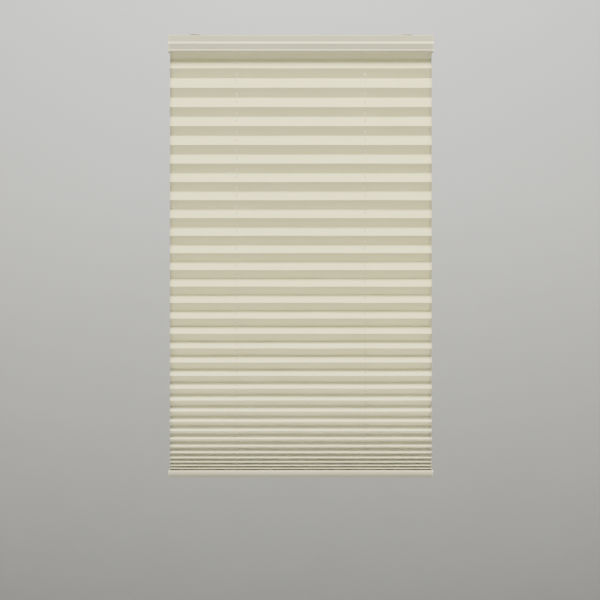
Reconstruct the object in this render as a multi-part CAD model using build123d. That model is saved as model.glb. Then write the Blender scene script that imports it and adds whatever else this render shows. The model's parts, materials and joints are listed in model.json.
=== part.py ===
"""Cordless pleated blind, in millimetres.

+X runs along the width, -Y is the front and +Z is up. The origin is midway between the two
brackets, on the plane of their top faces. The blind hangs down from there, part way lowered.
"""

import os
from math import asin, atan2, cos, degrees, pi, radians, sin

from build123d import *

# Overall sizes
HEAD_WIDTH = 775.0  # head rail with its end caps
FABRIC_INSET = 1.0  # of the sheet's edge from the inner face of each head rail cap
CORD_INSET = 199.5  # of each lift cord from the end of the head rail
BRACKET_INSET = 77.5  # of the middle of each bracket from the end of the head rail

# Pleats
PLEAT_FACET = 33.0  # from one crease to the next
PLEATS = 32  # from the head rail to the bottom rail
REST_ANGLE = 5.8  # of an unloaded facet to the horizontal, in degrees
ANGLE_PER_PLEAT = 0.767  # added by the weight of the first pleat below, in degrees
OPENING_POWER = 1.546  # of the pull on a facet in the angle that it adds
FABRIC_THICKNESS = 0.3
CORD_HOLE_RADIUS = 2.0

# Head rail section
BRACKET_DROP = 5.0  # from the mounting plane to the top of the head rail
HEAD_DEPTH = 49.4
HEAD_WALL = 1.4
CHANNEL_DEPTH = 34.8  # from the top of the rail to its floor
LIP_REACH = 6.0  # of each top lip over the channel
LIP_DROP = 2.8  # of the turned edge of each top lip
RIDGE_DEPTH = 24.5  # from the top of the rail down to its front ridge
RIDGE_REACH = 2.6  # of the ridge in front of the face above it
RIDGE_RISE = 5.5  # of the slope from that face out to the ridge
RIDGE_HEIGHT = 1.0
BEAD_DEPTH = 43.3  # from the top of the rail down to its front bead
BEAD_REACH = 2.0
BEAD_HEIGHT = 2.6
SKIRT_BOTTOM = 48.3  # from the top of the rail to its lowest edge
SKIRT_REACH = 0.8  # of the skirt in front of the top corner
FACE_LEAN = 0.7  # of the face above the ridge, forward from the top corner
FACE_FOOT = 0.2  # of the face above the bead, forward from the top corner
HEAD_BEND = 0.9  # radius at the middle of the wall
FLOOR_ROOT = 1.0  # of the floor and the slot lips into the front wall
SLOT_LIP = 5.0  # of each lip that carries the fabric strip
CAP_PLATE = 3.5
CAP_PLUG = 12.0
CAP_OVERHANG = 0.4
CAP_EDGE = 0.6  # radius of the corners of each plate
PLUG_WALL = 1.6

# Fabric strips
STRIP_THICKNESS = 1.2
STRIP_HOLE_RADIUS = 3.0
FLAP_INSET = 0.5  # of the sheet's lower flap from the edge of the slot above it

# Bottom rail section
BOTTOM_HEIGHT = 20.4
BOTTOM_TOP_DEPTH = 40.0
BOTTOM_MIDDLE_DEPTH = 45.0
BOTTOM_BASE_DEPTH = 31.0
BOTTOM_BULGE_DEPTH = 7.0  # from the top of the rail down to its widest place
BOTTOM_WALL = 1.3
BOTTOM_SLOT = 32.0  # the open width between the two top lips
BOTTOM_CAP_PLATE = 3.0
WEIGHT_INSET = 18.0  # of each end of the weight from its lift cord
WEIGHT_DEPTH = 14.0
WEIGHT_HEIGHT = 5.0
ANCHOR_RADIUS = 3.8
ANCHOR_HEIGHT = 12.0
ANCHOR_FLANGE = 1.7
ANCHOR_FLANGE_HEIGHT = 1.2
ANCHOR_EDGE = 0.6  # radius of the flange's lower edge
KNOT_RADIUS = 1.6
KNOT_HEIGHT = 3.0  # from the rail's underside to the middle of the knot

# Brackets
BRACKET_SHEET = 1.2
BRACKET_LENGTH = 26.0
BRACKET_FOOT = 5.0  # of each foot under its lip
BRACKET_BEND = 1.0  # radius at the middle of the sheet
SCREW_SPACING = 20.0
SCREW_HOLE_RADIUS = 2.25

# Spring motor
AXLE_SPACING = 26.0
GEAR_TEETH = 26
GEAR_THICKNESS = 3.0
PRESSURE_ANGLE = 20.0  # in degrees
ADDENDUM = 0.9  # of the teeth past the pitch circle, in modules
DEDENDUM = 1.2
FLANK_STEPS = 4
TOOTH_BACKLASH = 0.16
HOUSING_WALL = 1.6
HOUSING_FLOOR = 2.0
HOUSING_END = 6.0  # from the room of each outer gear to the end of the housing
HOUSING_TOP = 6.6  # from the top of the head rail to the top of the motor's cover
COVER_THICKNESS = 2.0
COVER_CORNER = 2.0
GEAR_LIFT = 1.2  # from the housing's floor to the gears
HUB_STEP = 1.0  # from the top flange of a drum to the top of its hub
HUB_WALL = 2.0
FLANGE_GAP = 1.2  # between the flanges of two drums
DRUM_FLANGE = 1.2
SPOOL_CORE_RADIUS = 9.0
SPRING_CORE_RADIUS = 8.0
SPRING_WIDTH = 12.0
SPRING_BAND = 0.25
FULL_COIL = 2.4  # the thickness of the turns on the drive drum
SPARE_COIL = 0.9  # the thickness of the turns on the storage drum
AXLE_RADIUS = 1.5
SLEEVE_RADIUS = 3.2
SCREW_SHANK_RADIUS = 1.1
SCREW_HEAD_RADIUS = 2.4
SCREW_HEAD_HEIGHT = 1.3
SCREW_LENGTH = 9.0
SCREW_END_GAP = 1.0  # below the tip of each screw
DRIVE_LENGTH = 3.0  # of each slot of the cross in a screw's head
DRIVE_WIDTH = 0.7
DRIVE_DEPTH = 0.6
BOSS_RADIUS = 2.7
BOSS_BITE = 0.8  # of each boss into the walls beside it

# Cords and their guides
CORD_RADIUS = 0.6
CORD_LEVEL = 17.0  # from the top of the head rail to the cord's level run
WOUND_HEIGHT = 5.4
WOUND_SHARE = 0.8  # of a cord's radius that its turns stand out past its middle
CORD_SLOT_FRONT = 2.0  # from the cord's furthest line at its spool to the housing slot's front
CORD_SLOT_BACK = 4.5
ROLLER_GROOVE_RADIUS = 5.0
ROLLER_RIM = 2.0  # of the flanges above the groove
ROLLER_EDGE = 1.2  # the width of each flange at its rim
ROLLER_WIDTH = 7.6
ROLLER_PIN_RADIUS = 1.0
GUIDE_LENGTH = 34.0
GUIDE_BASE = 2.0
CHEEK = 2.0
CHEEK_RIM = 1.0  # of each cheek past the roller
SPIGOT_RADIUS = 3.6
SPIGOT_BORE = 2.2

# Clearances
RUNNING = 0.05  # radial, between a turning piece and its pin
SLIP = 0.2  # between pieces that slide or turn past each other
FIT = 0.15  # around a piece that is pushed into another
SEAT = 0.1  # under a piece that stands on another
CREASE_GAP = 0.05  # between the sheet and the strip that it is glued to
OVERRUN = 1.0  # of a cutting shape past what it cuts

# Places worked out from these
FABRIC_WIDTH = HEAD_WIDTH - 2 * (CAP_PLATE + FABRIC_INSET)
BOTTOM_WIDTH = FABRIC_WIDTH + 2 * BOTTOM_CAP_PLATE
CORD_X = HEAD_WIDTH / 2 - CORD_INSET
BRACKET_X = HEAD_WIDTH / 2 - BRACKET_INSET
WEIGHT_LENGTH = 2 * (CORD_X - WEIGHT_INSET)
RAIL_TOP = -BRACKET_DROP
HALF_HEAD = HEAD_DEPTH / 2
FLOOR_TOP = RAIL_TOP - CHANNEL_DEPTH
FLOOR_BOTTOM = FLOOR_TOP - HEAD_WALL
STRIP_TOP = FLOOR_BOTTOM - SLIP
STRIP_BOTTOM = STRIP_TOP - STRIP_THICKNESS
LIP_TOP = STRIP_BOTTOM - SLIP
CORD_Z = RAIL_TOP - CORD_LEVEL
TURN_RADIUS = ROLLER_GROOVE_RADIUS + CORD_RADIUS + RUNNING
WINDING_RADIUS = SPOOL_CORE_RADIUS + CORD_RADIUS + RUNNING
MOTOR_BASE = FLOOR_TOP + SEAT
COVER_TOP = RAIL_TOP - HOUSING_TOP
COVER_BOTTOM = COVER_TOP - COVER_THICKNESS
GEAR_TOP = MOTOR_BASE + HOUSING_FLOOR + GEAR_LIFT + GEAR_THICKNESS
GEAR_BOTTOM = GEAR_TOP - GEAR_THICKNESS
HUB_BOTTOM = MOTOR_BASE + HOUSING_FLOOR + SLIP
HUB_TOP = COVER_BOTTOM - SLIP
DRUM_TOP = HUB_TOP - HUB_STEP
HUB_RADIUS = AXLE_RADIUS + HUB_WALL
DRUM_FLANGE_RADIUS = (AXLE_SPACING - FLANGE_GAP) / 2
INSIDE_DEPTH = HEAD_DEPTH - 2 * HEAD_WALL - 2 * FIT
LIP_EDGE = HALF_HEAD - HEAD_WALL - LIP_REACH
AXLES = [(place - 1.5) * AXLE_SPACING for place in range(4)]
HOUSING_LENGTH = len(AXLES) * AXLE_SPACING + 2 * HOUSING_END
ROLLER_FLANGE_RADIUS = ROLLER_GROOVE_RADIUS + ROLLER_RIM
CHEEK_RADIUS = ROLLER_FLANGE_RADIUS + CHEEK_RIM
SPOOL_LEFT_X, DRIVE_X, STORAGE_X, SPOOL_RIGHT_X = AXLES
FLANGES_TOP = GEAR_TOP + DRUM_FLANGE


# Shapes that several pieces share


def bar(section, length, start):
    """A bar along X of a section drawn in (y, z), from start to start + length."""
    return extrude(Plane.YZ.offset(start) * section, length)


def centred_bar(section, length):
    return bar(section, length, -length / 2)


def block(low, high):
    """A box from its lowest corner to its highest."""
    size = [top - bottom for bottom, top in zip(low, high)]
    return Pos(*low) * Box(*size, align=(Align.MIN, Align.MIN, Align.MIN))


def post(x, y, bottom, top, radius):
    """An upright cylinder."""
    align = (Align.CENTER, Align.CENTER, Align.MIN)
    return Pos(x, y, bottom) * Cylinder(radius, top - bottom, align=align)


def cross_pin(x, z, radius, length):
    """A cylinder along Y, centred on y = 0."""
    return Pos(x, 0, z) * Rot(90, 0, 0) * Cylinder(radius, length)


def sheet_section(path, thickness, bend):
    """The section of a bent sheet whose middle follows a path of (y, z) points."""
    line = FilletPolyline(*path, radius=bend)
    return make_face(offset(line, thickness / 2, side=Side.BOTH, closed=True).edges())


def slab(low_y, low_z, high_y, high_z):
    """A plain rectangle of a section."""
    corners = [(low_y, low_z), (high_y, low_z), (high_y, high_z), (low_y, high_z)]
    return make_face(Polyline(*corners, close=True))


# Pleats


def facet_angle(pleats_below):
    """The angle of a facet to the horizontal: it opens with the weight that it carries."""
    angle = radians(REST_ANGLE)
    for _ in range(60):
        pull = (pleats_below * cos(angle)) ** OPENING_POWER
        angle = (angle + radians(REST_ANGLE) + radians(ANGLE_PER_PLEAT) * pull) / 2
    return angle


def creases():
    """Each crease as (y, z), from the front one under the head rail to the last one at the back."""
    facets = 2 * PLEATS - 1
    angles = [facet_angle((facets - facet + 0.5) / 2) for facet in range(facets)]
    height = STRIP_BOTTOM - CREASE_GAP - FABRIC_THICKNESS / 2
    reaches = [PLEAT_FACET * cos(angle) / 2 for angle in angles]
    points = [(-reaches[0], height)]
    for facet, angle in enumerate(angles):
        height -= PLEAT_FACET * sin(angle)
        following = reaches[min(facet + 1, facets - 1)]
        side = 1 if facet % 2 == 0 else -1
        points.append((side * (reaches[facet] + following) / 2, height))
    return points


CREASES = creases()
LAST_DROP = PLEAT_FACET * sin(facet_angle(0.5))
FLAP_HALF = BOTTOM_SLOT / 2 - FLAP_INSET
LOWER_FLAP_Z = CREASES[-1][1] - LAST_DROP
BOTTOM_STRIP_TOP = LOWER_FLAP_Z - FABRIC_THICKNESS / 2 - CREASE_GAP
BOTTOM_STRIP_BOTTOM = BOTTOM_STRIP_TOP - STRIP_THICKNESS
BOTTOM_TOP = BOTTOM_STRIP_TOP + SLIP + BOTTOM_WALL
BOTTOM_BASE = BOTTOM_TOP - BOTTOM_HEIGHT
SHELF_TOP = BOTTOM_STRIP_BOTTOM - SLIP
SHELF_BOTTOM = SHELF_TOP - BOTTOM_WALL
KNOT_Z = BOTTOM_BASE + KNOT_HEIGHT
ANCHOR_TOP = BOTTOM_BASE + ANCHOR_HEIGHT


def sheet_outline(path, thickness):
    """Both sides of a creased sheet: a sharp corner inside each crease, a bevel outside it."""
    half = thickness / 2
    steps = list(zip(path, path[1:]))
    turns = [atan2(end[1] - start[1], end[0] - start[0]) for start, end in steps]
    sides = {1: [], -1: []}
    for side, edge in sides.items():
        for place, (y, z) in enumerate(path):
            before = turns[max(place - 1, 0)]
            after = turns[min(place, len(turns) - 1)]
            normals = [(-side * sin(turn), side * cos(turn)) for turn in (before, after)]
            bend = sin(after - before)
            if abs(bend) < 1e-9:
                edge.append((y + half * normals[0][0], z + half * normals[0][1]))
            elif bend * side > 0:
                share = half / (1 + cos(after - before))
                edge.append(tuple(c + share * (m + n) for c, m, n in zip((y, z), *normals)))
            else:
                edge += [(y + half * n[0], z + half * n[1]) for n in normals]
    return sides[1] + sides[-1][::-1]


def pleated_fabric():
    """One sheet, folded to and fro, with a hole through each facet for each cord."""
    path = [(-CREASES[0][0], CREASES[0][1])] + CREASES
    path += [(FLAP_HALF, LOWER_FLAP_Z), (-FLAP_HALF, LOWER_FLAP_Z)]
    path.pop(-3)
    outline = Polyline(*sheet_outline(path, FABRIC_THICKNESS), close=True)
    sheet = centred_bar(make_face(outline), FABRIC_WIDTH)
    for x in (-CORD_X, CORD_X):
        sheet -= post(x, 0, LOWER_FLAP_Z - OVERRUN, STRIP_TOP, CORD_HOLE_RADIUS)
    return sheet


# Head rail


def front_path():
    """The middle of the front wall, from the edge of its top lip down to the skirt."""
    half = HEAD_WALL / 2
    face = -HALF_HEAD + half
    lip = face + LIP_REACH
    ridge = face - FACE_LEAN - RIDGE_REACH
    return [
        (lip, -LIP_DROP - half),
        (lip, -half),
        (face, -half),
        (face - FACE_LEAN, -RIDGE_DEPTH + RIDGE_RISE),
        (ridge, -RIDGE_DEPTH),
        (ridge, -RIDGE_DEPTH - RIDGE_HEIGHT),
        (face - FACE_FOOT, -BEAD_DEPTH + BEAD_REACH),
        (face - BEAD_REACH, -BEAD_DEPTH),
        (face - BEAD_REACH, -BEAD_DEPTH - BEAD_HEIGHT),
        (face - SKIRT_REACH, -SKIRT_BOTTOM + half),
    ]


def head_rail():
    half = HEAD_WALL / 2
    face = HALF_HEAD - half
    back = [
        (face - LIP_REACH, -LIP_DROP - half),
        (face - LIP_REACH, -half),
        (face, -half),
        (face, -SKIRT_BOTTOM + half),
    ]
    section = sheet_section(front_path(), HEAD_WALL, HEAD_BEND)
    section += sheet_section(back, HEAD_WALL, HEAD_BEND)
    root = -face - FLOOR_ROOT
    floor_z = FLOOR_TOP - RAIL_TOP
    section += slab(root, floor_z - HEAD_WALL, face, floor_z)
    lip_z = LIP_TOP - RAIL_TOP
    slot = HALF_HEAD - HEAD_WALL - SLOT_LIP
    section += slab(root, lip_z - HEAD_WALL, -slot, lip_z)
    section += slab(slot, lip_z - HEAD_WALL, face, lip_z)
    rail = Pos(0, 0, RAIL_TOP) * centred_bar(section, HEAD_WIDTH - 2 * CAP_PLATE)
    for x in (-CORD_X, CORD_X):
        rail -= post(x, 0, FLOOR_BOTTOM - OVERRUN, FLOOR_TOP + OVERRUN, SPIGOT_RADIUS + SLIP)
    return rail


def cap_outline():
    """The closed outline of the rail's section, a little larger all round."""
    reach = HEAD_WALL / 2 + CAP_OVERHANG
    front = [(y - reach, z) for y, z in front_path()[2:]]
    front[0] = (front[0][0], CAP_OVERHANG)
    front[-1] = (front[-1][0], -SKIRT_BOTTOM - CAP_OVERHANG)
    back = HALF_HEAD + CAP_OVERHANG
    corners = front + [(back, -SKIRT_BOTTOM - CAP_OVERHANG), (back, CAP_OVERHANG)]
    face = make_face(Polyline(*corners, close=True))
    return fillet(face.vertices(), CAP_EDGE)


def head_cap(side):
    """A moulded end cap: an outer plate, and a hollow plug that fills the rail's channel."""
    inner = HEAD_WIDTH / 2 - CAP_PLATE
    plug_y = HALF_HEAD - HEAD_WALL - FIT
    plug_top = -HEAD_WALL - LIP_DROP - FIT
    plug_bottom = FLOOR_TOP - RAIL_TOP + FIT
    ring = slab(-plug_y, plug_bottom, plug_y, plug_top)
    ring -= slab(
        -plug_y + PLUG_WALL, plug_bottom + PLUG_WALL, plug_y - PLUG_WALL, plug_top - PLUG_WALL
    )
    cap = bar(cap_outline(), CAP_PLATE, inner) + bar(ring, CAP_PLUG, inner - CAP_PLUG)
    cap = Pos(0, 0, RAIL_TOP) * cap
    return cap if side > 0 else mirror(cap, Plane.YZ)


def bracket(side):
    """A clip of bent sheet: a screwed top plate and two feet that catch the rail's top lips."""
    half = BRACKET_SHEET / 2
    leg = LIP_EDGE - SLIP - half
    foot = RAIL_TOP - HEAD_WALL - LIP_DROP - SLIP - half
    front = [(-leg - BRACKET_FOOT, foot), (-leg, foot), (-leg, -half)]
    path = front + [(-y, z) for y, z in reversed(front)]
    clip = centred_bar(sheet_section(path, BRACKET_SHEET, BRACKET_BEND), BRACKET_LENGTH)
    for y in (-SCREW_SPACING / 2, SCREW_SPACING / 2):
        clip -= post(0, y, -BRACKET_SHEET - OVERRUN, OVERRUN, SCREW_HOLE_RADIUS)
    return Pos(side * BRACKET_X, 0, 0) * clip


def strip(depth, top):
    """A flat strip that slides into a rail and carries one end of the sheet."""
    low = (-FABRIC_WIDTH / 2, -depth / 2, top - STRIP_THICKNESS)
    piece = block(low, (FABRIC_WIDTH / 2, depth / 2, top))
    for x in (-CORD_X, CORD_X):
        piece -= post(x, 0, low[2] - OVERRUN, top + OVERRUN, STRIP_HOLE_RADIUS)
    return piece


# Spring motor


def gear(x, turned):
    """A spur gear with involute teeth, turned by that share of a tooth."""
    pitch = AXLE_SPACING / 2
    module = AXLE_SPACING / GEAR_TEETH
    base = pitch * cos(radians(PRESSURE_ANGLE))
    tip = pitch + ADDENDUM * module
    root = pitch - DEDENDUM * module
    half_tooth = (pi * pitch / GEAR_TEETH - TOOTH_BACKLASH) / 2 / pitch
    roll = (pitch**2 / base**2 - 1) ** 0.5
    spread = half_tooth + roll - atan2(roll, 1)
    corners = []
    for tooth in range(GEAR_TEETH):
        middle = 2 * pi * (tooth + turned) / GEAR_TEETH
        flank = []
        for step in range(FLANK_STEPS + 1):
            radius = base + (tip - base) * step / FLANK_STEPS
            turn = (radius**2 / base**2 - 1) ** 0.5
            flank.append((radius, spread - turn + atan2(turn, 1)))
        flank.insert(0, (root, flank[0][1]))
        corners += [(r * cos(middle - a), r * sin(middle - a)) for r, a in flank]
        corners += [(r * cos(middle + a), r * sin(middle + a)) for r, a in reversed(flank)]
    disc = extrude(make_face(Polyline(*corners, close=True)), GEAR_THICKNESS)
    return Pos(x, 0, GEAR_BOTTOM) * disc


def axle_bore(x):
    return post(x, 0, HUB_BOTTOM - OVERRUN, HUB_TOP + OVERRUN, AXLE_RADIUS + RUNNING)


def drum(x, core_radius):
    """A core between two flanges, with hubs that space it from the gears' floor and cover."""
    body = post(x, 0, GEAR_TOP, HUB_TOP, HUB_RADIUS)
    body += post(x, 0, FLANGES_TOP, DRUM_TOP - DRUM_FLANGE, core_radius)
    body += post(x, 0, GEAR_TOP, FLANGES_TOP, DRUM_FLANGE_RADIUS)
    body += post(x, 0, DRUM_TOP - DRUM_FLANGE, DRUM_TOP, DRUM_FLANGE_RADIUS)
    return body


def geared_drum(x, core_radius, turned):
    body = drum(x, core_radius) + gear(x, turned)
    body += post(x, 0, HUB_BOTTOM, GEAR_TOP, HUB_RADIUS)
    return body - axle_bore(x)


def idler_gear():
    """A gear with a tall sleeve, on which the storage drum turns by itself."""
    body = gear(STORAGE_X, 0.0) + post(STORAGE_X, 0, HUB_BOTTOM, HUB_TOP, SLEEVE_RADIUS)
    return body - axle_bore(STORAGE_X)


def storage_drum():
    bottom = GEAR_TOP + SLIP
    body = post(STORAGE_X, 0, bottom, DRUM_TOP, SPRING_CORE_RADIUS)
    body += post(STORAGE_X, 0, bottom, FLANGES_TOP, DRUM_FLANGE_RADIUS)
    body += post(STORAGE_X, 0, DRUM_TOP - DRUM_FLANGE, DRUM_TOP, DRUM_FLANGE_RADIUS)
    bore = post(STORAGE_X, 0, bottom - OVERRUN, DRUM_TOP + OVERRUN, SLEEVE_RADIUS + RUNNING)
    return body - bore


def motor_spring():
    """A flat band wound on both drums: thick on the drive drum, thin on the storage drum."""
    middle = (FLANGES_TOP + DRUM_TOP - DRUM_FLANGE) / 2
    bottom = middle - SPRING_WIDTH / 2
    top = middle + SPRING_WIDTH / 2
    inner = SPRING_CORE_RADIUS + RUNNING
    full = inner + FULL_COIL
    spare = inner + SPARE_COIL
    coils = post(DRIVE_X, 0, bottom, top, full) + post(STORAGE_X, 0, bottom, top, spare)
    # The band crosses from the front of one coil to the back of the other.
    lean = asin((full + spare - SPRING_BAND) / AXLE_SPACING)
    length = AXLE_SPACING * cos(lean)
    start = full - SPRING_BAND / 2
    band = Box(length, SPRING_BAND, SPRING_WIDTH, align=(Align.MIN, Align.CENTER, Align.MIN))
    at = Pos(DRIVE_X - start * sin(-lean), -start * cos(lean), bottom)
    coils += at * Rot(0, 0, degrees(lean)) * band
    for x in (DRIVE_X, STORAGE_X):
        coils -= post(x, 0, bottom - OVERRUN, top + OVERRUN, inner)
    return coils


def housing_corners():
    inset = HOUSING_WALL + BOSS_RADIUS - BOSS_BITE
    x = HOUSING_LENGTH / 2 - inset
    y = INSIDE_DEPTH / 2 - inset
    return [(-x, -y), (x, -y), (-x, y), (x, y)]


def motor_housing():
    """An open tray that holds the four axles, with a slot in each end for a cord."""
    half = HOUSING_LENGTH / 2
    deep = INSIDE_DEPTH / 2
    wall = HOUSING_WALL
    tray = block((-half, -deep, MOTOR_BASE), (half, deep, COVER_BOTTOM))
    floor = MOTOR_BASE + HOUSING_FLOOR
    rim = COVER_BOTTOM + OVERRUN
    tray -= block((wall - half, wall - deep, floor), (half - wall, deep - wall, rim))
    for x, y in housing_corners():
        tray += post(x, y, floor, COVER_BOTTOM, BOSS_RADIUS)
    for x, y in housing_corners():
        tray -= post(x, y, COVER_BOTTOM - SCREW_LENGTH, rim, SCREW_SHANK_RADIUS)
    for x in AXLES:
        tray -= post(x, 0, MOTOR_BASE - OVERRUN, floor + OVERRUN, AXLE_RADIUS)
    # The level runs of the cords leave through a slot in each end.
    low = (-half - OVERRUN, -WINDING_RADIUS - CORD_SLOT_FRONT, FLANGES_TOP)
    return tray - block(low, (half + OVERRUN, -WINDING_RADIUS + CORD_SLOT_BACK, rim))


def motor_cover():
    half = HOUSING_LENGTH / 2
    deep = INSIDE_DEPTH / 2
    lid = block((-half, -deep, COVER_BOTTOM), (half, deep, COVER_TOP))
    lid = fillet(lid.edges().filter_by(Axis.Z), COVER_CORNER)
    low = COVER_BOTTOM - OVERRUN
    high = COVER_TOP + OVERRUN
    for x, y in housing_corners():
        lid -= post(x, y, low, high, SCREW_SHANK_RADIUS + SLIP)
    for x in AXLES:
        lid -= post(x, 0, low, high, AXLE_RADIUS)
    return lid


def motor_screws():
    screws = []
    tip = COVER_BOTTOM - SCREW_LENGTH + SCREW_END_GAP
    top = COVER_TOP + SCREW_HEAD_HEIGHT
    for x, y in housing_corners():
        screw = post(x, y, tip, top, SCREW_SHANK_RADIUS)
        screw += post(x, y, COVER_TOP, top, SCREW_HEAD_RADIUS)
        for turn in (0, 90):
            slot = Box(DRIVE_LENGTH, DRIVE_WIDTH, 2 * DRIVE_DEPTH)
            screw -= Pos(x, y, top) * Rot(0, 0, turn) * slot
        screws.append(screw)
    return Compound(screws)


def motor_axles():
    return Compound([post(x, 0, MOTOR_BASE, COVER_TOP, AXLE_RADIUS) for x in AXLES])


# Cord guides


def roller_centre(side):
    return side * (CORD_X - TURN_RADIUS), CORD_Z - TURN_RADIUS


def cord_guide(side):
    """A cradle on the channel floor: two cheeks for the roller, and a spigot for the cord."""
    x, z = roller_centre(side)
    bottom = FLOOR_TOP + SEAT
    top = bottom + GUIDE_BASE
    half = INSIDE_DEPTH / 2
    frame = block((x - GUIDE_LENGTH / 2, -half, bottom), (x + GUIDE_LENGTH / 2, half, top))
    inner = ROLLER_WIDTH / 2 + SLIP
    for low in (-inner - CHEEK, inner):
        cheek = block((x - CHEEK_RADIUS, low, top), (x + CHEEK_RADIUS, low + CHEEK, z))
        frame += cheek + Pos(0, low + CHEEK / 2, 0) * cross_pin(x, z, CHEEK_RADIUS, CHEEK)
    frame -= cross_pin(x, z, ROLLER_PIN_RADIUS, 2 * (inner + CHEEK + OVERRUN))
    frame += post(side * CORD_X, 0, FLOOR_BOTTOM, top, SPIGOT_RADIUS)
    return frame - post(side * CORD_X, 0, FLOOR_BOTTOM - OVERRUN, z, SPIGOT_BORE)


def guide_roller(side):
    """A grooved roller that turns the cord from its level run to its drop."""
    x, z = roller_centre(side)
    half = ROLLER_WIDTH / 2
    floor = CORD_RADIUS + RUNNING
    rim = ROLLER_FLANGE_RADIUS
    outline = [
        (ROLLER_PIN_RADIUS + RUNNING, -half),
        (rim, -half),
        (rim, -half + ROLLER_EDGE),
        (ROLLER_GROOVE_RADIUS, -floor),
        (ROLLER_GROOVE_RADIUS, floor),
        (rim, half - ROLLER_EDGE),
        (rim, half),
        (ROLLER_PIN_RADIUS + RUNNING, half),
    ]
    face = Plane.XZ * make_face(Polyline(*outline, close=True))
    return Pos(x, 0, z) * Rot(90, 0, 0) * revolve(face, Axis.Z)


def guide_pin(side):
    x, z = roller_centre(side)
    return cross_pin(x, z, ROLLER_PIN_RADIUS, ROLLER_WIDTH + 2 * SLIP + 2 * CHEEK)


# Bottom rail


def bottom_outline(inset):
    """The rail's closed section at its outer face, or that far inside it."""
    top = (BOTTOM_TOP_DEPTH / 2 - inset, -inset)
    bulge = (BOTTOM_MIDDLE_DEPTH / 2 - inset, -BOTTOM_BULGE_DEPTH)
    base = (BOTTOM_BASE_DEPTH / 2 - inset, -BOTTOM_HEIGHT + inset)
    edges = [
        ThreePointArc(top, bulge, base),
        Line(base, (-base[0], base[1])),
        ThreePointArc((-base[0], base[1]), (-bulge[0], bulge[1]), (-top[0], top[1])),
        Line((-top[0], top[1]), top),
    ]
    return make_face(edges)


def bottom_rail():
    """A closed extrusion with a shelf and two top lips that hold the sheet's lower strip."""
    section = bottom_outline(0) - bottom_outline(BOTTOM_WALL)
    wide = BOTTOM_MIDDLE_DEPTH / 2
    shelf = slab(-wide, SHELF_BOTTOM - BOTTOM_TOP, wide, SHELF_TOP - BOTTOM_TOP)
    section += shelf & bottom_outline(BOTTOM_WALL / 2)
    section -= slab(-BOTTOM_SLOT / 2, BOTTOM_STRIP_TOP - BOTTOM_TOP, BOTTOM_SLOT / 2, OVERRUN)
    length = BOTTOM_WIDTH - 2 * BOTTOM_CAP_PLATE
    rail = Pos(0, 0, BOTTOM_TOP) * centred_bar(section, length)
    for x in (-CORD_X, CORD_X):
        rail -= post(x, 0, SHELF_BOTTOM - OVERRUN, SHELF_TOP + OVERRUN, STRIP_HOLE_RADIUS)
        rail -= post(x, 0, BOTTOM_BASE - OVERRUN, KNOT_Z, ANCHOR_RADIUS + FIT)
    return rail


def bottom_cap(side):
    """A moulded end cap: an outer plate and a hollow plug that fits under the shelf."""
    inner = BOTTOM_WIDTH / 2 - BOTTOM_CAP_PLATE
    room = BOTTOM_WALL + FIT
    wide = BOTTOM_MIDDLE_DEPTH / 2
    top = SHELF_BOTTOM - BOTTOM_TOP - FIT
    below = slab(-wide, -BOTTOM_HEIGHT, wide, top)
    hollow = slab(-wide, -BOTTOM_HEIGHT, wide, top - PLUG_WALL)
    plug = (bottom_outline(room) & below) - (bottom_outline(room + PLUG_WALL) & hollow)
    cap = bar(bottom_outline(0), BOTTOM_CAP_PLATE, inner) + bar(plug, CAP_PLUG, inner - CAP_PLUG)
    cap = Pos(0, 0, BOTTOM_TOP) * cap
    return cap if side > 0 else mirror(cap, Plane.YZ)


def weight_bar():
    bottom = BOTTOM_BASE + BOTTOM_WALL + SEAT
    low = (-WEIGHT_LENGTH / 2, -WEIGHT_DEPTH / 2, bottom)
    return block(low, (WEIGHT_LENGTH / 2, WEIGHT_DEPTH / 2, bottom + WEIGHT_HEIGHT))


def cord_anchor(side):
    """A button in the rail's underside that holds the knot at the end of a cord."""
    x = side * CORD_X
    button = post(x, 0, BOTTOM_BASE - SEAT, ANCHOR_TOP, ANCHOR_RADIUS)
    flange = ANCHOR_RADIUS + ANCHOR_FLANGE
    below = BOTTOM_BASE - SEAT - ANCHOR_FLANGE_HEIGHT
    disc = post(x, 0, below, BOTTOM_BASE - SEAT, flange)
    button += fillet(disc.edges().sort_by(Axis.Z)[0], ANCHOR_EDGE)
    button -= post(x, 0, BOTTOM_BASE, ANCHOR_TOP + OVERRUN, CORD_RADIUS + SLIP)
    return button - post(x, 0, BOTTOM_BASE, KNOT_Z + KNOT_RADIUS + SLIP, KNOT_RADIUS + SLIP)


# Lift cords


def lift_cord(side):
    """A cord from its turns on a spool, along the channel, over a roller and down to its knot."""
    spool_x = abs(SPOOL_LEFT_X)
    distance = CORD_X - spool_x
    lean = asin(WINDING_RADIUS / distance)
    touch = (spool_x + WINDING_RADIUS * sin(lean), -WINDING_RADIUS * cos(lean), CORD_Z)
    line = FilletPolyline(touch, (CORD_X, 0, CORD_Z), (CORD_X, 0, KNOT_Z), radius=TURN_RADIUS)
    start = Plane(origin=touch, z_dir=line % 0)
    cord = sweep(start * Circle(CORD_RADIUS), path=line)
    bottom = CORD_Z - WOUND_HEIGHT
    top = CORD_Z + CORD_RADIUS / 2
    turns = post(spool_x, 0, bottom, top, WINDING_RADIUS + CORD_RADIUS * WOUND_SHARE)
    turns -= post(spool_x, 0, bottom - OVERRUN, top + OVERRUN, SPOOL_CORE_RADIUS + RUNNING)
    cord += turns
    cord += Pos(CORD_X, 0, KNOT_Z) * Sphere(KNOT_RADIUS)
    return cord if side > 0 else mirror(cord, Plane.YZ)


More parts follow.
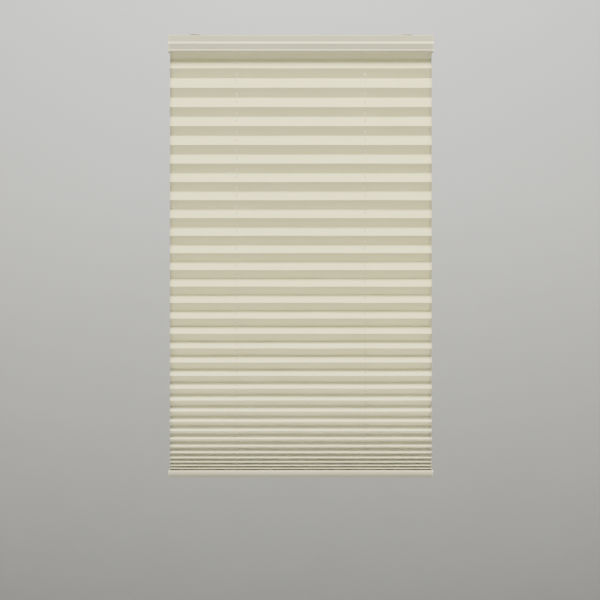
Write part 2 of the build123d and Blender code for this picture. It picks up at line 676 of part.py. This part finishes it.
def parts():
    """Every piece by the name of its node."""
    made = {
        "head_rail": head_rail(),
        "motor_housing": motor_housing(),
        "motor_cover": motor_cover(),
        "motor_screws": motor_screws(),
        "motor_axles": motor_axles(),
        "spool_left": geared_drum(SPOOL_LEFT_X, SPOOL_CORE_RADIUS, 0.0),
        "drive_drum": geared_drum(DRIVE_X, SPRING_CORE_RADIUS, 0.5),
        "idler_gear": idler_gear(),
        "storage_drum": storage_drum(),
        "spool_right": geared_drum(SPOOL_RIGHT_X, SPOOL_CORE_RADIUS, 0.5),
        "motor_spring": motor_spring(),
        "top_strip": strip(2 * (HALF_HEAD - HEAD_WALL) - 4 * SLIP, STRIP_TOP),
        "pleated_fabric": pleated_fabric(),
        "bottom_strip": strip(BOTTOM_TOP_DEPTH - 2 * BOTTOM_WALL - 2 * SLIP, BOTTOM_STRIP_TOP),
        "bottom_rail": bottom_rail(),
        "weight_bar": weight_bar(),
    }
    for name, side in (("left", -1), ("right", 1)):
        made[f"head_cap_{name}"] = head_cap(side)
        made[f"bracket_{name}"] = bracket(side)
        made[f"cord_guide_{name}"] = cord_guide(side)
        made[f"guide_roller_{name}"] = guide_roller(side)
        made[f"guide_pin_{name}"] = guide_pin(side)
        made[f"lift_cord_{name}"] = lift_cord(side)
        made[f"bottom_cap_{name}"] = bottom_cap(side)
        made[f"cord_anchor_{name}"] = cord_anchor(side)
    return made


if __name__ == "__main__":
    os.makedirs("parts", exist_ok=True)
    for node, shape in parts().items():
        export_step(shape, f"parts/{node}.step")
    print("bend of each cord at its roller, mm:", round(TURN_RADIUS, 2))
    print("front crease to bottom rail, mm:", round(CREASES[0][1] - BOTTOM_TOP, 1))
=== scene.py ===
"""Looks for the cordless pleated blind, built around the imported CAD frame. Metres, +Z up, front -Y."""

import json
import math

import bmesh
import bpy
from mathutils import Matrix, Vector, noise


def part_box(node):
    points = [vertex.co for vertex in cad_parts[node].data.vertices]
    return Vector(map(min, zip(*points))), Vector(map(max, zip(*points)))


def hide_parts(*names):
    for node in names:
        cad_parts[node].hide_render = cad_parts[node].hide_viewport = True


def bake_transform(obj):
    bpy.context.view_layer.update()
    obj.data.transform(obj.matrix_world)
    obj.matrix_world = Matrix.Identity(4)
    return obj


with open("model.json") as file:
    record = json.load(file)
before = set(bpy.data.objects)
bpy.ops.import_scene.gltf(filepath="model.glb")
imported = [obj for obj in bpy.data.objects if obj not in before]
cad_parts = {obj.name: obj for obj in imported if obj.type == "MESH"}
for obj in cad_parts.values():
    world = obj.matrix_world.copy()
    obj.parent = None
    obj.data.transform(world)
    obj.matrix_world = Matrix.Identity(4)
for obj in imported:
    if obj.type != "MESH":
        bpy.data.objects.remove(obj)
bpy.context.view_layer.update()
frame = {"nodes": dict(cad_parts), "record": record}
nodes = frame["nodes"]

# The sheet, as the CAD folds it
FACET = 0.033  # from crease to crease
PLEATS = 32
REST_ANGLE = math.radians(5.8)
ANGLE_PER_PLEAT = math.radians(0.767)
OPENING_POWER = 1.546
THICKNESS = 0.0003
GLUE_GAP = 0.00005
LOWER_FLAP = 0.0155  # half the width of the flap between the bottom rail's lips
CREASE_RADIUS = 0.00035
CREASE_STEPS = 3
ANGLE_STEPS = 60  # to settle a facet's angle
CORD_HOLE = 0.002
HOLE_PATCH = 0.005  # half the side of the square patch around a cord hole
HOLE_SIDES = 16
NEAR_CREASE = 0.0009  # from each crease to the row of points beside it
COLUMNS = 60
COLUMN_CLEAR = 0.003  # from a cord hole's patch to the next column
TIGHTEST = 0.00098  # of one facet in the fully raised stack

# Lift cords
CORD_RADIUS = 0.0006
CORD_SIDES = 10
STRAND_TURNS = 260.0  # turns of a strand in a metre of cord
SPOOL_CORE = 0.009
GROOVE = 0.005
RUNNING = 0.00005
WOUND_TURNS = 4.0
KNOT_RADIUS = 0.0015
KNOT_LUMPS = 0.12  # of its radius
KNOT_LUMP_SCALE = 900.0
COIL_STEPS = 28  # points in a turn on the spool
COIL_PITCH = 2.05  # between two turns, in cord radii
BEND_STEPS = 8
DROP_STEPS = 40

# Small unevenness of the creases
CREASE_SWAY = 0.0003  # forward and back
CREASE_LIFT = 0.00035  # up and down
FULL_LIFT_PITCH = 0.012  # between two creases that have the whole lift
SWAY_SEED = 3.1
LIFT_SEED = 8.7
WANDER_ALONG = 7.0  # waves in a metre of width
WANDER_DOWN = 0.9  # from a crease to the next
WANDER_GAIN = 1.6


def middle(node):
    low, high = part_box(node)
    return (low + high) / 2


CORD_X = middle("cord_anchor_right").x


# Materials


class Look:
    """A material's node tree, with short calls for its nodes and links."""

    def __init__(self, name, **values):
        self.material = bpy.data.materials.new(name)
        self.material.use_nodes = True
        self.tree = self.material.node_tree
        self.shader = self.tree.nodes["Principled BSDF"]
        self.set(**values)

    def set(self, **values):
        """Sets the shader's own sockets, named with _ for a space."""
        for socket, value in values.items():
            self.shader.inputs[socket.replace("_", " ")].default_value = value

    def add(self, kind, inputs=None, **settings):
        node = self.tree.nodes.new("ShaderNode" + kind)
        for name, value in settings.items():
            setattr(node, name, value)
        for name, value in (inputs or {}).items():
            self.join(value, node.inputs[name])
        return node

    def join(self, value, socket):
        """Links a node's first output, or a given output, or sets a plain value."""
        if isinstance(value, bpy.types.Node):
            value = value.outputs[0]
        if isinstance(value, bpy.types.NodeSocket):
            self.tree.links.new(value, socket)
        else:
            socket.default_value = value

    def drive(self, socket, value):
        self.join(value, self.shader.inputs[socket])

    def math(self, operation, a, b=0.0):
        return self.add("Math", {0: a, 1: b}, operation=operation)

    def noise(self, place, scale, detail=3.0, roughness=0.5):
        inputs = {"Vector": place, "Scale": scale, "Detail": detail, "Roughness": roughness}
        return self.add("TexNoise", inputs)

    def stretched(self, place, x, y, z):
        return self.add("Mapping", {"Vector": place, "Scale": (x, y, z)})

    def mixed(self, factor, low, high):
        """A colour between two others, by a factor from 0 to 1."""
        node = self.add("Mix", data_type="RGBA")
        self.join(factor, node.inputs[0])
        self.join(low, node.inputs[6])
        self.join(high, node.inputs[7])
        return node.outputs[2]

    def between(self, factor, low, high):
        return self.mixed(factor, (*low, 1.0), (*high, 1.0))

    def limits(self, value, low, high, to_low=0.0, to_high=1.0):
        inputs = {"Value": value, "From Min": low, "From Max": high}
        return self.add("MapRange", inputs | {"To Min": to_low, "To Max": to_high})

    def bump(self, height, strength, distance, before=None):
        inputs = {"Height": height, "Strength": strength, "Distance": distance}
        if before is not None:
            inputs["Normal"] = before
        node = self.add("Bump", inputs)
        self.drive("Normal", node)
        return node

    def place(self):
        return self.add("TexCoord").outputs["Object"]


def fabric_material():
    """Stiffened crepe: fine warp and weft, slubs along the weft and a faint mottle. Further down the
    sheet it is painted paler and less yellow, as painted light in the stacked pleats.
    """
    look = Look("ivory_crepe", Sheen_Weight=0.1, Sheen_Roughness=0.5, Specular_IOR_Level=0.25)
    look.set(Subsurface_Weight=0.5, Subsurface_Radius=(1.0, 0.95, 0.75), Subsurface_Scale=0.0008)
    sheet = look.add("UVMap", uv_map="sheet")
    across = {"Vector": sheet, "Scale": 420.0, "Distortion": 1.2, "Detail": 1.0}
    warp = look.add("TexWave", across, bands_direction="X")
    along = {"Vector": sheet, "Scale": 380.0, "Distortion": 1.6, "Detail": 1.0}
    weft = look.add("TexWave", along, bands_direction="Y")
    weave = look.math("MULTIPLY", look.math("ADD", warp, weft), 0.5)
    slubs = look.noise(look.stretched(sheet, 60.0, 900.0, 1.0), 1.0, 3.0, 0.6)
    crinkle = look.noise(look.stretched(sheet, 260.0, 260.0, 1.0), 1.0, 4.0, 0.65)
    mottle = look.noise(look.stretched(sheet, 9.0, 14.0, 1.0), 1.0)
    tint = look.math("ADD", look.math("MULTIPLY", slubs, 0.45), look.math("MULTIPLY", mottle, 0.55))
    light = look.limits(tint, 0.35, 0.65)
    # Painted light: the lower tone, paler and less yellow, takes over from 1 to 2 m down the sheet to
    # brighten the stacked pleats' shaded gaps.
    upper = look.between(light, (0.870, 0.840, 0.600), (0.920, 0.890, 0.650))
    lower = look.between(light, (0.905, 0.900, 0.790), (0.945, 0.940, 0.840))
    down = look.add("SeparateXYZ", {"Vector": sheet}).outputs["Y"]
    look.drive("Base Color", look.mixed(look.limits(down, 1.0, 2.0), upper, lower))
    look.drive("Roughness", look.limits(slubs, 0.3, 0.7, 0.8, 0.92))
    threads = look.bump(weave, 0.25, 0.0002)
    thicker = look.bump(slubs, 0.3, 0.0003, threads)
    look.bump(crinkle, 0.25, 0.0004, thicker)
    return look.material


def coated_metal():
    """Powder-coated extrusion: orange peel, faint die lines along its length and soft mottle."""
    look = Look("alabaster_coat", Specular_IOR_Level=0.45, Coat_Weight=0.12, Coat_Roughness=0.3)
    place = look.place()
    mottle = look.limits(look.noise(look.stretched(place, 6.0, 30.0, 30.0), 1.0), 0.35, 0.65)
    look.drive("Base Color", look.between(mottle, (0.540, 0.526, 0.477), (0.580, 0.566, 0.515)))
    peel = look.noise(place, 900.0, 2.0)
    drawn = look.noise(look.stretched(place, 3.0, 1500.0, 1500.0), 1.0, 2.0)
    look.drive("Roughness", look.limits(peel, 0.3, 0.7, 0.33, 0.46))
    look.bump(drawn, 0.06, 0.0001, look.bump(peel, 0.12, 0.0002))
    return look.material


def moulded(name, low, high, rough=0.45, grain=1600.0, strength=0.12):
    """Moulded plastic: fine mould grain, and a little uneven colour and gloss."""
    look = Look(name, Specular_IOR_Level=0.45)
    place = look.place()
    flow = look.limits(look.noise(look.stretched(place, 25.0, 60.0, 60.0), 1.0), 0.35, 0.65)
    look.drive("Base Color", look.between(flow, low, high))
    pits = look.noise(place, grain, 3.0, 0.6)
    look.drive("Roughness", look.limits(pits, 0.3, 0.7, rough - 0.06, rough + 0.08))
    look.bump(pits, strength, 0.0002)
    return look.material


def steel(name, low, high, rough, grain):
    """Plated or ground steel, with fine scratches drawn out by the grain's scales."""
    look = Look(name, Metallic=1.0)
    place = look.place()
    blotches = look.limits(look.noise(place, 120.0, 4.0, 0.6), 0.35, 0.65)
    look.drive("Base Color", look.between(blotches, low, high))
    lines = look.noise(look.stretched(place, *grain), 1.0, 3.0, 0.6)
    look.drive("Roughness", look.limits(lines, 0.3, 0.7, rough - 0.08, rough + 0.1))
    look.bump(lines, 0.1, 0.0001)
    return look.material


def strip_material():
    """Extruded plastic strip, with faint lines along its length."""
    look = Look("extruded_strip", Specular_IOR_Level=0.4)
    drawn = look.noise(look.stretched(look.place(), 4.0, 900.0, 900.0), 1.0)
    pale = look.limits(drawn, 0.3, 0.7)
    look.drive("Base Color", look.between(pale, (0.66, 0.64, 0.57), (0.74, 0.72, 0.65)))
    look.drive("Roughness", look.limits(drawn, 0.3, 0.7, 0.42, 0.58))
    look.bump(drawn, 0.15, 0.0001)
    return look.material


def cord_material():
    """Braided polyester: strands that cross as they wind round the cord, with painted shade in the
    grooves between them.
    """
    look = Look("braided_cord", Sheen_Weight=0.2, Specular_IOR_Level=0.3)
    parts = look.add("SeparateXYZ", {"Vector": look.add("UVMap", uv_map="braid")})
    turns = look.math("MULTIPLY", parts.outputs["Y"], STRAND_TURNS)
    waves = []
    for operation in ("ADD", "SUBTRACT"):
        phase = look.math(operation, turns, parts.outputs["X"])
        waves.append(look.math("SINE", look.math("MULTIPLY", phase, 4 * math.pi)))
    strands = look.limits(look.math("MULTIPLY", *waves), -1.0, 1.0)
    # Painted shade: the colour is darker where the strands' bump is low, in the grooves between them.
    look.drive("Base Color", look.between(strands, (0.84, 0.82, 0.76), (0.97, 0.96, 0.90)))
    look.drive("Roughness", look.limits(strands, 0.0, 1.0, 0.8, 0.62))
    look.bump(strands, 0.5, 0.00015)
    return look.material


FINISHES = {
    "rail_finish": coated_metal(),
    "cap_plastic": moulded("cap_moulding", (0.66, 0.65, 0.60), (0.72, 0.71, 0.66), 0.32),
    "strip_plastic": strip_material(),
    "zinc_steel": steel(
        "zinc_plate", (0.26, 0.27, 0.29), (0.36, 0.37, 0.38), 0.42, (40.0, 900.0, 900.0)
    ),
    "ground_steel": steel(
        "spring_steel", (0.50, 0.51, 0.53), (0.66, 0.67, 0.68), 0.3, (200.0, 200.0, 2500.0)
    ),
    "housing_plastic": moulded("housing_moulding", (0.62, 0.62, 0.59), (0.69, 0.69, 0.66), 0.5),
    "gear_plastic": moulded("acetal", (0.74, 0.73, 0.67), (0.80, 0.79, 0.73), 0.36, 2400.0, 0.06),
    "clear_plastic": moulded("button_moulding", (0.66, 0.66, 0.62), (0.74, 0.74, 0.70), 0.22),
}


def dress_cad():
    """Every CAD node that stays gets the finish of its slot."""
    for part in frame["record"]["subparts"]:
        finish = FINISHES.get(part["material_slot"])
        if finish is not None:
            mesh = nodes[part["node"]].data
            mesh.materials.clear()
            mesh.materials.append(finish)


def new_piece(name, made, material):
    """A smooth-shaded object from a bmesh, in the row frame."""
    mesh = bpy.data.meshes.new(name)
    made.to_mesh(mesh)
    made.free()
    mesh.polygons.foreach_set("use_smooth", [True] * len(mesh.polygons))
    mesh.materials.append(material)
    piece = bpy.data.objects.new(name, mesh)
    bpy.context.scene.collection.objects.link(piece)
    return piece


# The pleated sheet


def facet_angle(pleats_below):
    """The angle of a facet to the horizontal: it opens with the weight that it carries."""
    angle = REST_ANGLE
    for _ in range(ANGLE_STEPS):
        pull = (pleats_below * math.cos(angle)) ** OPENING_POWER
        angle = (angle + REST_ANGLE + ANGLE_PER_PLEAT * pull) / 2
    return angle


def sheet_path():
    """The creases as (y, z), with the glued flap at each end of the sheet."""
    facets = 2 * PLEATS - 1
    angles = [facet_angle((facets - facet + 0.5) / 2) for facet in range(facets)]
    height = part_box("pleated_fabric")[1].z - THICKNESS / 2
    reaches = [FACET * math.cos(angle) / 2 for angle in angles]
    points = [(reaches[0], height), (-reaches[0], height)]
    for facet, angle in enumerate(angles[:-1]):
        height -= FACET * math.sin(angle)
        side = 1 if facet % 2 == 0 else -1
        points.append((side * (reaches[facet] + reaches[facet + 1]) / 2, height))
    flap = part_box("bottom_strip")[1].z + GLUE_GAP + THICKNESS / 2
    return points + [(LOWER_FLAP, flap), (-LOWER_FLAP, flap)]


def rounded_creases(points):
    """The arc of each crease, as points from its upper facet to its lower one."""
    arcs = []
    last = len(points) - 1
    for place, (y, z) in enumerate(points):
        if place in (0, last):
            arcs.append([Vector((y, z))])
            continue
        side = 1 if y > 0 else -1
        # The crease beside a glued flap bends away from its strip.
        drop = {1: -CREASE_RADIUS, last - 1: CREASE_RADIUS}.get(place, 0.0)
        centre = Vector((y - side * CREASE_RADIUS, z + drop))
        before = Vector(points[place - 1]) - Vector((y, z))
        after = Vector(points[place + 1]) - Vector((y, z))
        upper = math.atan2(abs(before.x), before.y)
        lower = math.atan2(abs(after.x), -after.y)
        arc = []
        for step in range(CREASE_STEPS + 1):
            turn = upper - (upper + lower) * step / CREASE_STEPS
            out = Vector((side * math.cos(turn), math.sin(turn)))
            arc.append(centre + out * CREASE_RADIUS)
        arcs.append(arc)
    return arcs


def sheet_rows(points):
    """Rows of the sheet down its path, as (y, z, distance down it, crease, share to the next)."""
    rows = []
    run = 0.0
    arcs = rounded_creases(points)
    for place, arc in enumerate(arcs):
        for number, at in enumerate(arc):
            if number:
                run += (at - arc[number - 1]).length
            rows.append((at.x, at.y, run, place, 0.0))
        if place < len(arcs) - 1:
            start, end = arc[-1], arcs[place + 1][0]
            length = (end - start).length
            patch = (length / 2 - HOLE_PATCH, length / 2 + HOLE_PATCH)
            for down in (NEAR_CREASE, *patch, length - NEAR_CREASE):
                at = start.lerp(end, down / length)
                rows.append((at.x, at.y, run + down, place, down / length))
            run += length
    return rows, run


def sheet_columns(half):
    """The x of each column, with one at each side of every cord hole's patch."""
    marks = [side * CORD_X + off for side in (-1, 1) for off in (-HOLE_PATCH, HOLE_PATCH)]
    spaced = [-half + 2 * half * step / COLUMNS for step in range(COLUMNS + 1)]
    clear = HOLE_PATCH + COLUMN_CLEAR
    return sorted([x for x in spaced if abs(abs(x) - CORD_X) > clear] + marks)


def wander(x, crease, seed):
    """A slow wander of a crease along the width, about -1 to 1, the same at every run."""
    return noise.noise(Vector((x * WANDER_ALONG, crease * WANDER_DOWN, seed))) * WANDER_GAIN


def crease_weights(points):
    """How far each crease follows the bottom rail, so that the stack never turns inside out."""
    top = points[1][1]
    folds = len(points) - 3
    spare = top - points[-2][1] - folds * TIGHTEST
    fallen = [top - z - place * TIGHTEST for place, (_, z) in enumerate(points[1:-1])]
    return [0.0, *(distance / spare for distance in fallen), 1.0]


def pleated_sheet():
    points = sheet_path()
    rows, length = sheet_rows(points)
    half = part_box("pleated_fabric")[1].x
    columns = sheet_columns(half)
    at_crease = crease_weights(points)
    last = len(points) - 1
    made = bmesh.new()
    uv = made.loops.layers.uv.new("sheet")
    flat, weights = {}, []

    def point(at, x, run, weight):
        vertex = made.verts.new(at)
        flat[vertex] = (x, run)
        weights.append(weight)
        return vertex

    def looseness(place):
        return 0.0 if place in (0, 1, last - 1, last) else 1.0

    grid = []
    for y, z, run, place, share in rows:
        following = min(place + 1, last)

        def along(of):
            return of(place) * (1 - share) + of(following) * share

        weight = along(at_crease.__getitem__)
        loose = along(looseness)
        room = min(1.0, abs(points[place][1] - points[following][1]) / FULL_LIFT_PITCH)
        line = []
        for x in columns:
            sway = along(lambda crease: wander(x, crease, SWAY_SEED)) * CREASE_SWAY * loose
            lift = along(lambda crease: wander(x, crease, LIFT_SEED)) * CREASE_LIFT * loose * room
            line.append(point((x, y + sway, z + lift), x, run, weight))
        grid.append(line)

    def punched(corners, x, run, weight):
        """Four faces round a punched hole, between the corners of one cell of the sheet."""
        centre = sum((v.co for v in corners), Vector()) / 4
        right = (corners[1].co - corners[0].co).normalized()
        down = (corners[3].co - corners[0].co).normalized()
        ring = []
        for step in range(HOLE_SIDES):
            turn = math.radians(225) + 2 * math.pi * step / HOLE_SIDES
            a, b = math.cos(turn) * CORD_HOLE, math.sin(turn) * CORD_HOLE
            ring.append(point(centre + right * a + down * b, x + a, run + b, weight))
        side = HOLE_SIDES // 4
        for number in range(4):
            arc = [ring[(number * side + step) % HOLE_SIDES] for step in range(side, -1, -1)]
            made.faces.new([corners[number], corners[(number + 1) % 4], *arc])

    for number, (upper, lower) in enumerate(zip(grid, grid[1:])):
        _, _, run, place, share = rows[number]
        # The cells between a facet's two patch rows have the cord holes.
        holed = 0.2 < share < 0.5 < rows[number + 1][4]
        for across in range(len(columns) - 1):
            corners = [upper[across], upper[across + 1], lower[across + 1], lower[across]]
            x = (columns[across] + columns[across + 1]) / 2
            if holed and abs(abs(x) - CORD_X) < 1e-6:
                weight = (at_crease[place] + at_crease[place + 1]) / 2
                punched(corners, x, run + HOLE_PATCH, weight)
            else:
                made.faces.new(corners)
    for face in made.faces:
        for loop in face.loops:
            loop[uv].uv = flat[loop.vert]
    piece = new_piece("fabric_sheet", made, fabric_material())
    thick = piece.modifiers.new("thickness", "SOLIDIFY")
    thick.thickness = THICKNESS
    thick.offset = 0.0
    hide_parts("pleated_fabric")
    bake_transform(piece)


# Lift cords


def cord_line(side):
    """The middle of a cord: its turns on the spool, its level run, its bend and its drop."""
    spool = middle("spool_left" if side < 0 else "spool_right")
    roller = middle("guide_roller_left" if side < 0 else "guide_roller_right")
    turning = GROOVE + CORD_RADIUS + RUNNING
    winding = SPOOL_CORE + CORD_RADIUS + RUNNING
    level = roller.z + turning
    reach = CORD_X - abs(spool.x)
    lean = math.asin(winding / reach)
    line = []
    steps = int(WOUND_TURNS * COIL_STEPS)
    for step in range(steps, -1, -1):
        turns = WOUND_TURNS * step / steps
        turn = -math.pi / 2 + lean - 2 * math.pi * turns
        x = side * (abs(spool.x) + winding * math.cos(turn))
        height = level - turns * COIL_PITCH * CORD_RADIUS
        line.append(Vector((x, winding * math.sin(turn), height)))
    inward = (Vector((side * CORD_X, 0, level)) - line[-1]).normalized()
    start = Vector((side * CORD_X, 0, level)) - inward * turning
    bend = start + Vector((0, 0, -turning))
    for step in range(BEND_STEPS + 1):
        turn = math.pi / 2 * step / BEND_STEPS
        rise = Vector((0, 0, turning)) * math.cos(turn)
        line.append(bend + rise + inward * turning * math.sin(turn))
    return line


def tube(made, uv, line, radius):
    """A tube along a line, as its rings of points, with its distance down the line as its UV."""
    rings = []
    run = 0.0
    normal = Vector((0, 0, 1))
    for place, at in enumerate(line):
        before, after = line[max(place - 1, 0)], line[min(place + 1, len(line) - 1)]
        along = (after - before).normalized()
        normal = (normal - along * normal.dot(along)).normalized()
        across = along.cross(normal)
        if place:
            run += (at - line[place - 1]).length
        ring = []
        for number in range(CORD_SIDES):
            turn = 2 * math.pi * number / CORD_SIDES
            offset = normal * math.cos(turn) + across * math.sin(turn)
            ring.append(made.verts.new(at + offset * radius))
        rings.append((ring, run))
    for (upper, high), (lower, low) in zip(rings, rings[1:]):
        for number in range(CORD_SIDES):
            following = (number + 1) % CORD_SIDES
            corners = [upper[number], upper[following], lower[following], lower[number]]
            face = made.faces.new(corners)
            shares = (number, number + 1, number + 1, number)
            for loop, share, distance in zip(face.loops, shares, (high, high, low, low)):
                loop[uv].uv = (share / CORD_SIDES, distance)
    made.faces.new(reversed(rings[0][0]))
    made.faces.new(rings[-1][0])
    return rings


def lift_cord(side, material):
    name = "left" if side < 0 else "right"
    line = cord_line(side)
    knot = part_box(f"lift_cord_{name}")[0].z + KNOT_RADIUS
    top = line[-1]
    for step in range(1, DROP_STEPS + 1):
        line.append(Vector((top.x, top.y, top.z + (knot - top.z) * step / DROP_STEPS)))
    made = bmesh.new()
    uv = made.loops.layers.uv.new("braid")
    tube(made, uv, line, CORD_RADIUS)
    lump = bmesh.ops.create_uvsphere(made, u_segments=12, v_segments=8, radius=KNOT_RADIUS)
    for vertex in lump["verts"]:
        bumpy = 1 + KNOT_LUMPS * noise.noise(vertex.co * KNOT_LUMP_SCALE)
        vertex.co = vertex.co * bumpy + Vector((top.x, top.y, knot))
    made.verts.index_update()
    piece = new_piece(f"lift_cord_{name}_braid", made, material)
    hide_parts(f"lift_cord_{name}")
    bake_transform(piece)


dress_cad()
pleated_sheet()
braid = cord_material()
for side in (-1, 1):
    lift_cord(side, braid)


# The stage and the camera


WALL_Y = 9.4  # behind every place that the camera orbits to
WALL_TOP = 6.0
FLOOR_Z = -2.8
ROOM = 40.0  # half the width of the stage
PAINTED_SHADE_BELOW = -2.6  # the height from which the backdrop's painted light starts, paler upwards
PAINTED_LIGHT_ABOVE = -0.1
BLIND_MIDDLE = -0.6  # the height that the lights face
CAMERA_PLACE = (-0.0023, -8.5, -0.7776)
CAMERA_LENS = 174.3


def stage_plane(name, first, last, low, high):
    """A plain plane between two edges, each a (y, z): painted paler higher up, as painted light falling
    from above, with a faint mottle.
    """
    made = bmesh.new()
    corners = [(-ROOM, *first), (ROOM, *first), (ROOM, *last), (-ROOM, *last)]
    made.faces.new([made.verts.new(corner) for corner in corners])
    look = Look(name, Roughness=0.9, Specular_IOR_Level=0.2)
    height = look.add("SeparateXYZ", {"Vector": look.place()}).outputs["Z"]
    # Painted light: the colour grows paler with height, standing in for light that falls from above.
    rise = look.limits(height, PAINTED_SHADE_BELOW, PAINTED_LIGHT_ABOVE)
    mottle = look.limits(look.noise(look.place(), 3.0), 0.3, 0.7, -0.02, 0.02)
    look.drive("Base Color", look.between(look.math("ADD", rise, mottle), low, high))
    plane = new_piece(name, made, look.material)


stage_plane(
    "backdrop",
    (WALL_Y, FLOOR_Z),
    (WALL_Y, WALL_TOP),
    (0.325, 0.332, 0.362),
    (0.61, 0.622, 0.66),
)
stage_plane(
    "floor",
    (-ROOM, FLOOR_Z),
    (WALL_Y, FLOOR_Z),
    (0.50, 0.50, 0.49),
    (0.52, 0.52, 0.51),
)

camera = bpy.data.objects.new("camera", bpy.data.cameras.new("camera"))
bpy.context.scene.collection.objects.link(camera)
bpy.context.scene.camera = camera
camera.data.lens = CAMERA_LENS
camera.location = CAMERA_PLACE
camera.rotation_euler = (math.radians(90), 0, 0)
camera.data.clip_start = 0.05
camera.data.clip_end = 60


def soft_light(name, place, target, size, power, colour=(1.0, 1.0, 1.0)):
    """A square light at a place, turned to face its target."""
    data = bpy.data.lights.new(name, "AREA")
    data.shape = "SQUARE"
    data.size = size
    data.energy = power
    data.color = colour
    light = bpy.data.objects.new(name, data)
    bpy.context.scene.collection.objects.link(light)
    light.location = place
    light.rotation_euler = (Vector(target) - Vector(place)).to_track_quat("-Z", "Y").to_euler()


soft_light("key", (0.4, -3.4, 4.65), (0, 0, BLIND_MIDDLE), 2.2, 990, (1.0, 0.93, 0.58))
soft_light("back", (0.6, 3.4, 1.6), (0, 0, BLIND_MIDDLE), 1.5, 45, (1.0, 0.99, 0.96))
soft_light("fill", (-0.2, -3.0, -1.2), (0, 0, -1.0), 1.3, 18, (0.93, 0.97, 1.0))
soft_light("wall", (0, 6.4, 4.2), (0, WALL_Y, BLIND_MIDDLE), 3.0, 440)

world = bpy.data.worlds.new("studio")
bpy.context.scene.world = world
world.use_nodes = True
background = world.node_tree.nodes["Background"]
background.inputs["Color"].default_value = (0.80, 0.80, 0.77, 1.0)
background.inputs["Strength"].default_value = 0.27
